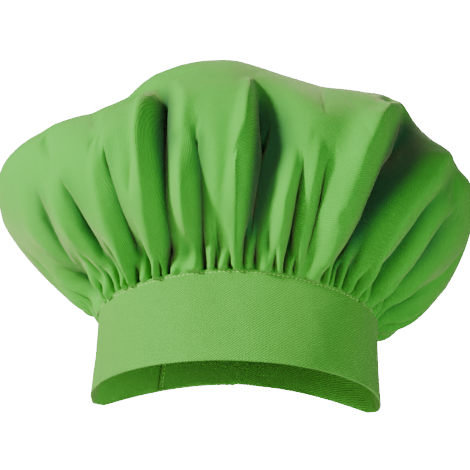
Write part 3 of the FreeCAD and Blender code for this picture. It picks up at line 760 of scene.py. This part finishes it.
# Folds that run up the crown, in millimetres: (v, x, width to the left, width to the right, depth).
FRONT_FOLDS = [
    [(0, -52, 4, 4, 2), (0.10, -53, 6, 6, 14), (0.22, -54, 7, 7, 26), (0.36, -55, 8, 8, 29),
     (0.46, -58, 7, 8, 21), (0.53, -61, 6, 7, 9), (0.60, -63, 5, 6, 0)],
    [(0, -24, 4, 4, 2), (0.10, -25, 5, 5, 12), (0.20, -29, 6, 7, 22), (0.28, -33, 7, 9, 19),
     (0.36, -36, 7, 10, 8), (0.43, -37, 6, 9, 0)],
    [(0, 8, 5, 5, 2), (0.10, 9, 6, 8, 15), (0.22, 10, 7, 15, 26), (0.34, 12, 7, 22, 27),
     (0.42, 13, 6, 22, 17), (0.50, 13, 5, 17, 8), (0.58, 11, 4, 12, 0)],
    [(0, 33, 4, 4, 2), (0.10, 36, 5, 5, 12), (0.20, 40, 6, 7, 15), (0.29, 44, 5, 7, 7), (0.36, 46, 4, 6, 0)],
    [(0, 46, 3, 4, 2), (0.10, 50, 4, 5, 10), (0.22, 57, 5, 7, 11), (0.32, 60, 4, 6, 4), (0.38, 61, 4, 6, 0)],
    [(0, 70, 4, 6, 2), (0.10, 76, 6, 9, 16), (0.22, 90, 9, 15, 30), (0.34, 108, 13, 20, 40),
     (0.44, 122, 13, 19, 31), (0.52, 131, 9, 14, 13), (0.59, 136, 6, 10, 3), (0.66, 138, 6, 8, 0)],
    [(0, 98, 4, 4, 2), (0.12, 110, 5, 6, 10), (0.24, 130, 6, 8, 14), (0.34, 150, 7, 8, 11),
     (0.43, 163, 7, 8, 4), (0.50, 168, 7, 8, 0)],
    [(0, 105, 3, 3, 2), (0.10, 121, 5, 5, 9), (0.20, 141, 6, 7, 12),
     (0.30, 158, 7, 7, 6), (0.38, 165, 7, 7, 0)],
    [(0, -72, 3, 4, 2), (0.10, -76, 5, 5, 10), (0.20, -85, 6, 6, 15),
     (0.29, -95, 5, 7, 10), (0.37, -100, 4, 8, 0)],
    [(0, -88, 3, 3, 2), (0.10, -97, 5, 5, 9), (0.19, -112, 6, 6, 11),
     (0.27, -125, 5, 8, 6), (0.33, -131, 5, 8, 0)],
    [(0, -101, 3, 3, 2), (0.12, -118, 5, 5, 7), (0.24, -142, 6, 6, 8), (0.34, -156, 6, 7, 0)],
]
BACK_FOLDS = [
    [(0, -96, 4, 4, 2), (0.12, -106, 6, 6, 10), (0.35, -128, 9, 10, 16),
     (0.60, -122, 10, 10, 8), (0.80, -100, 9, 9, 0)],
    [(0, -62, 4, 4, 2), (0.12, -66, 7, 7, 13), (0.35, -74, 10, 9, 20),
     (0.60, -72, 10, 10, 14), (0.86, -58, 9, 9, 0)],
    [(0, -30, 4, 4, 2), (0.12, -33, 6, 7, 11), (0.30, -37, 8, 9, 15),
     (0.48, -38, 9, 9, 6), (0.62, -38, 9, 9, 0)],
    [(0, 31, 4, 4, 2), (0.12, 34, 6, 6, 11), (0.35, 36, 9, 10, 18),
     (0.58, 32, 10, 10, 13), (0.82, 26, 9, 9, 0)],
    [(0, 64, 4, 4, 2), (0.12, 70, 6, 7, 10), (0.28, 78, 9, 9, 15), (0.45, 84, 9, 9, 6), (0.58, 88, 9, 9, 0)],
    [(0, 95, 4, 4, 2), (0.12, 105, 6, 6, 10), (0.32, 124, 9, 10, 17),
     (0.55, 126, 10, 10, 10), (0.78, 108, 9, 9, 0)],
]


def fold_depths(x, v, folds):
    """Displacement along the normal from folds that are listed by their x at each v."""
    total = np.zeros_like(v)
    for fold in folds:
        vs, xs, left, right, depth = np.array(fold, float).T
        centre, deep = np.interp(v, vs, xs), np.interp(v, vs, depth, right=0)
        q = x / MM - centre
        width = np.where(q < 0, np.interp(v, vs, left), np.interp(v, vs, right))
        q = q / width
        crest = np.where(q < 0, 0.42, 0.16) * np.exp(-((np.abs(q) - 1.75) / 0.85) ** 2)
        total += deep * (crest - np.exp(-q * q))
    return total * MM


PLEATS = 56


def pleat_phase(share):
    """Uneven spacing of the fine gathers along the seam, in whole turns."""
    return PLEATS * share + sum(a * np.sin(2 * np.pi * (k * share + p)) for k, a, p in
                                ((3, 0.55, 0.1), (7, 0.40, 0.45), (13, 0.28, 0.8), (19, 0.22, 0.3)))


GATHER, MERGED = 0.0090, 0.0066   # depth of the fine gathers, and of those that they run together into
MERGED_AT = 0.026             # height above the seam where they have run together


def gathers(share, height):
    """Fine gathers above the seam: round tubes with sharp gaps, which run together further up."""
    phase = pleat_phase(share)
    uneven = wander(share, 41, 5, 0.11)
    reach = 0.022 * (1 + 0.4 * uneven)
    tubes = 2.1 * np.abs(np.sin(np.pi * phase)) ** 0.75 - 1.4
    near = smooth_step(height, -0.001, 0.005) * np.exp(-(height / reach) ** 2)
    half = 0.5 * np.pi * phase + 0.8 * np.sin(2 * np.pi * 4 * share)
    merged = 2.1 * np.abs(np.sin(half)) ** 0.85 - 1.35
    past = (height - MERGED_AT) / (MERGED_AT * (1 + 0.4 * uneven))
    further = smooth_step(height, 0.004, MERGED_AT) * np.exp(-past ** 2)
    return GATHER * tubes * near + MERGED * merged * further


def crown_points(share, v):
    """The laid-out crown, and how far each point stands out of a fold or down in it."""
    base = crown_base(share, v)
    x, y = base[..., 0], base[..., 1]
    front = smooth_step(-y, -0.050, -0.005)
    move = front * fold_depths(x, v, FRONT_FOLDS) + (1 - front) * fold_depths(x, v, BACK_FOLDS)
    move += gathers(share, v * DISC_RADIUS)
    points = base + base_normal(share, v) * move[..., None]
    tuck = TUCK[0] + (TUCK[1] - TUCK[0]) * smooth_step(y, -0.050, -0.010)
    points[..., 2] -= tuck * np.clip(1 - v * RINGS, 0, 1)
    return points, move


def ring_columns(v):
    """How many columns a ring has: halved each time the disc's ring is half as long."""
    columns = COLUMNS
    while columns > 14 and (1 - v) < 0.5 * columns / COLUMNS * 1.02:
        columns //= 2
    return columns


def opened(points, shares, vs, right):
    """Draws the cloth apart at the slit. right marks the second edge, which also has share 0."""
    taper = np.clip(1 - vs * RINGS / SLIT_RINGS, 0, 1) ** 0.8
    signed = np.where(shares > 0.5, shares - 1, shares)
    pull = taper * SLIT_HALF * np.clip(1 - np.abs(signed) / SLIT_REACH, 0, 1)
    points[:, 0] += np.where((signed < 0) | right, pull, -pull)
    return points


def crown_mesh():
    """A disc of rings with a slit, placed as the gathered crown, and each vertex's share and v."""
    rings, faces, shares, vs, right = [], [], [], [], []
    start = 0
    for i in range(RINGS):
        v, n = i / RINGS, ring_columns(i / RINGS)
        extra = int(i < SLIT_RINGS)
        rings.append((start, n, extra))
        shares += [k / n for k in range(n)] + [0.0] * extra
        right += [False] * n + [True] * extra
        vs += [v] * (n + extra)
        start += n + extra
    top = start
    shares, vs, right = np.array(shares + [0.0]), np.array(vs + [1.0]), np.array(right + [False])
    for (a, n, a_extra), (b, m, b_extra) in zip(rings, rings[1:]):
        if n == m:
            faces += [(a + k, a + (k + 1) % (n + a_extra), b + (k + 1) % (n + b_extra), b + k)
                      for k in range(n)]
        else:
            for k in range(m):
                a0, a1, a2 = (a + (2 * k + j) % n for j in range(3))
                b0, b1 = b + k, b + (k + 1) % m
                faces += [(a0, a1, b0), (a1, b1, b0), (a1, a2, b1)]
    a, n, _ = rings[-1]
    faces += [(a + k, a + (k + 1) % n, top) for k in range(n)]
    points, raised = crown_points(shares, vs)
    points[-1] = crown_base(np.array([0.0]), np.array([1.0]))[0]
    mesh = bpy.data.meshes.new("crown")
    mesh.from_pydata(opened(points, shares, vs, right).tolist(), [], faces)
    # Each vertex's depth in its fold; the twill material also turns this into painted shade.
    mesh.attributes.new("raised", "FLOAT", "POINT").data.foreach_set("value", raised.astype(np.float32))
    mesh.update()
    return mesh, shares, vs


def even_metric(shares, vs, drawn=0.42):
    """Where each vertex lies when the cloth is unstrained: the disc, drawn in towards its edge.

    Above drawn it is the flat disc. Below, it bulges a little and then narrows to the band.
    """
    t = np.clip((drawn - vs) / drawn, 0, 1)
    below = DISC_RADIUS * (1 - drawn) + 0.018 * np.sin(t * np.pi * 0.5) - 0.062 * t ** 3
    radius = np.where(vs > drawn, DISC_RADIUS * (1 - vs), below)
    levels, first = np.unique(vs, return_index=True)
    ring = radius[first]
    step = DISC_RADIUS * np.diff(levels)
    height = np.sqrt(np.maximum(step ** 2 - np.diff(ring) ** 2, 0))
    z = np.concatenate([[0], np.cumsum(height)])
    turn = 2 * np.pi * shares
    return np.stack([radius * np.cos(turn), radius * np.sin(turn), np.interp(vs, levels, z)], -1)


def settle(obj, shares, vs, frames=26, scale=10.0, reach=0.011):
    """Lets the cloth find its own creases, held near its laid-out shape, and keeps the result."""
    mesh = obj.data
    start = vertex_places(mesh)
    mesh.vertices.foreach_set("co", (start * scale).ravel())
    obj.shape_key_add(name="laid out")
    rest = obj.shape_key_add(name="flat")
    rest.data.foreach_set("co", (even_metric(shares, vs) * scale).ravel())
    group = obj.vertex_groups.new(name="held")
    weights = 0.03 + 0.97 * (1 - smooth_step(vs, 0.012, 0.035)) + 0.10 * (1 - smooth_step(vs, 0.03, 0.16))
    for i, w in enumerate(np.clip(weights, 0, 1)):
        group.add([i], float(w), "REPLACE")
    modifier = obj.modifiers.new("cloth", "CLOTH")
    set_all(modifier.settings, quality=6, mass=0.3, tension_stiffness=18, compression_stiffness=12,
            shear_stiffness=6, bending_stiffness=0.25, tension_damping=5, compression_damping=5,
            shear_damping=5, bending_damping=0.5, air_damping=3, vertex_group_mass="held",
            pin_stiffness=0.35, rest_shape_key=rest, use_pressure=True, uniform_pressure_force=0.45)
    modifier.settings.effector_weights.gravity = 0.0
    set_all(modifier.collision_settings, use_collision=False, use_self_collision=False)
    set_all(modifier.point_cache, frame_start=1, frame_end=frames)
    scene = bpy.context.scene
    for f in range(1, frames + 1):
        scene.frame_set(f)
    evaluated = obj.evaluated_get(bpy.context.evaluated_depsgraph_get())
    move = vertex_places(evaluated.data) / scale - start
    length = np.linalg.norm(move, axis=1, keepdims=True)
    move *= np.minimum(1, reach / np.maximum(length, 1e-9)) * smooth_step(vs, 0.015, 0.12)[:, None]
    obj.modifiers.remove(modifier)
    obj.shape_key_clear()
    obj.vertex_groups.clear()
    scene.frame_set(1)
    mesh.vertices.foreach_set("co", (start + move).ravel())
    mesh.update()


# ---- The slit's binding ----

BOUND = 0.0048                # width of the binding on each face
CLOTH = 0.0006


def slit_edges(mesh):
    """The crown's vertices beside the slit, as two grids that run inwards from each edge."""
    points = vertex_places(mesh)
    grids = []
    for columns in (range(8), range(COLUMNS, COLUMNS - 8, -1)):
        grids.append(np.array([[points[i * (COLUMNS + 1) + k % (COLUMNS + (i < SLIT_RINGS))]
                                for k in columns] for i in range(1, SLIT_RINGS + 1)]))
    return grids


def finer(grid, count):
    """The same rows, at more and even places along them."""
    at = np.linspace(0, len(grid) - 1, count)
    low = np.clip(at.astype(int), 0, len(grid) - 2)
    t = (at - low)[:, None, None]
    return grid[low] * (1 - t) + grid[low + 1] * t


def beside_slit(grid, distances):
    """Points at distances in from the slit's edge, and the outward direction there."""
    grid = finer(grid, 40)
    grid[1:-1] = 0.25 * grid[:-2] + 0.5 * grid[1:-1] + 0.25 * grid[2:]
    lengths = np.concatenate([np.zeros((len(grid), 1)),
                              np.cumsum(np.linalg.norm(np.diff(grid, axis=1), axis=-1), 1)], 1)
    points = np.array([[[np.interp(x, s, row[:, c]) for c in range(3)] for x in distances]
                       for s, row in zip(lengths, grid)])
    normals = unit(np.cross(np.gradient(points, axis=0), np.gradient(points, axis=1)))
    away = np.sum(normals * (points - [0, 0, 0.12]), -1, keepdims=True) < 0
    return points, np.where(away, -normals, normals)


def vent_binding(grids):
    """The folded strip over both edges of the slit, and the rows of points its stitches follow."""
    inward = np.array([BOUND, 0.0036, 0.0024, 0.0013, 0.0005])
    vertices, faces, flat, rows = [], [], [], []
    for side, grid in enumerate(grids):
        points, normals = beside_slit(grid, list(inward) + [0.0])
        lift = CLOTH / 2 + 0.0004
        outer = points[:, :-1] + normals[:, :-1] * lift
        outer[:, 0] -= normals[:, 0] * 0.00025
        inner = (points[:, :-1] - normals[:, :-1] * lift)[:, ::-1]
        beyond = unit(points[:, -1] - points[:, -2])[:, None] * 0.0005
        path = np.concatenate([outer, points[:, -1:] + beyond, inner], 1)
        n, m = path.shape[:2]
        start = len(vertices)
        vertices += path.reshape(-1, 3).tolist()
        faces += grid_faces(n, m, start)
        flat += [(i * 0.0014, j * 0.0011 + side * 0.02) for i in range(n) for j in range(m)]
        rows.append((points[:, 1] + normals[:, 1] * (lift + 0.0003), normals[:, 1]))
    obj = made_object("vent_binding_strip", vertices, faces, CROWN_TWILL, flat)
    return thickened(obj, 0.0004), rows, sum(p.area for p in obj.data.polygons)


def tack_rows(grids):
    """Close parallel stitches across the top of the slit."""
    (left, left_out), (right, _) = (beside_slit(grid, [0.0036, 0.0048]) for grid in grids)
    a, b, normal = left[-2, 0], right[-2, 0], left_out[-2, 0]
    up = unit(left[-1, 0] - left[-4, 0])
    rows = []
    for k in range(5):
        lift = normal * (0.0012 + 0.00012 * (k % 2)) + up * (0.00045 * (k - 2))
        rows.append((np.linspace(a, b, 8) + lift, np.tile(normal, (8, 1))))
    return rows


# ---- Putting it together ----

def dress(obj, body, material_slot, *nodes):
    """Puts a finished piece on its body, in place of its CAD nodes."""
    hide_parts(*nodes)
    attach(obj, body)
    return obj


band, strip_width = band_cloth()
dress(band, "hat", "band_twill", "band_shell")
dress(stiffener_piece(), "hat", "stiffener", "band_stiffener")
topstitches, end_stitches = band_stitching()
dress(topstitches, "hat", "thread", "band_topstitching")
dress(end_stitches, "hat", "thread", "band_end_stitching")

root = tab_cloth("tab_root_cloth", HINGE - TAB_ROOT, HINGE - BEND, closed_start=True)
free = tab_cloth("tab_cloth", HINGE + BEND, TAB_END, closed_end=True)
dress(root, "hat", "band_twill", "tab_root")
dress(free, "tab", "band_twill", "closure_tab")
bend_piece = tab_cloth("tab_bend_cloth", HINGE - BEND, HINGE + BEND)
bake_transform(bend_piece)
tab_thread, root_thread = tab_threads()
dress(tab_thread, "tab", "thread", "tab_stitching")
dress(root_thread, "hat", "thread", "tab_root_stitching")
loop_thread, hook_thread = tape_threads()
dress(loop_thread, "hat", "thread", "loop_tape_stitching")
dress(hook_thread, "tab", "thread", "hook_tape_stitching")
loop_tape = bristles("loop_pile_tape", *LOOP, lambda h: BAND + LIE + h, TAPE, 0.00075, False,
                     LOOP_PILE, 31)
hook_tape = bristles("hook_tape_strip", *HOOK, lambda h: TAB_LIFT - LIE - h, TAPE, 0.0013, True,
                     HOOK_TAPE, 32)
dress(loop_tape, "hat", "loop_pile", "loop_tape")
dress(hook_tape, "tab", "hook_tape", "hook_tape")

label = care_label()
dress(label, "hat", "label", "care_label")
dress(label_threads(), "hat", "thread", "care_label_stitching")

mesh, crown_shares, crown_vs = crown_mesh()
crown = link("crown_cloth", mesh)
flat_radius = DISC_RADIUS * (1 - crown_vs)
set_cloth_uv(mesh, np.stack([flat_radius * np.cos(2 * np.pi * crown_shares),
                             flat_radius * np.sin(2 * np.pi * crown_shares)], 1))
settle(crown, crown_shares, crown_vs)
mesh.polygons.foreach_set("use_smooth", [True] * len(mesh.polygons))
mesh.materials.append(CROWN_TWILL)
crown.modifiers.new("smooth", "SUBSURF").render_levels = 1
thickened(crown, CLOTH)
dress(crown, "hat", "crown_twill", "crown")

edges = slit_edges(mesh)
binding, binding_rows, binding_area = vent_binding(edges)
dress(binding, "hat", "crown_twill", "vent_binding")
dress(stitch_rows("vent_stitches", binding_rows + tack_rows(edges)), "hat", "thread", "vent_bar_tack")

for name, material in (("gathering_thread", THREAD), ("tab_stiffener", STIFFENER)):
    node_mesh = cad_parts[name].data
    node_mesh.materials.clear()
    node_mesh.materials.append(material)
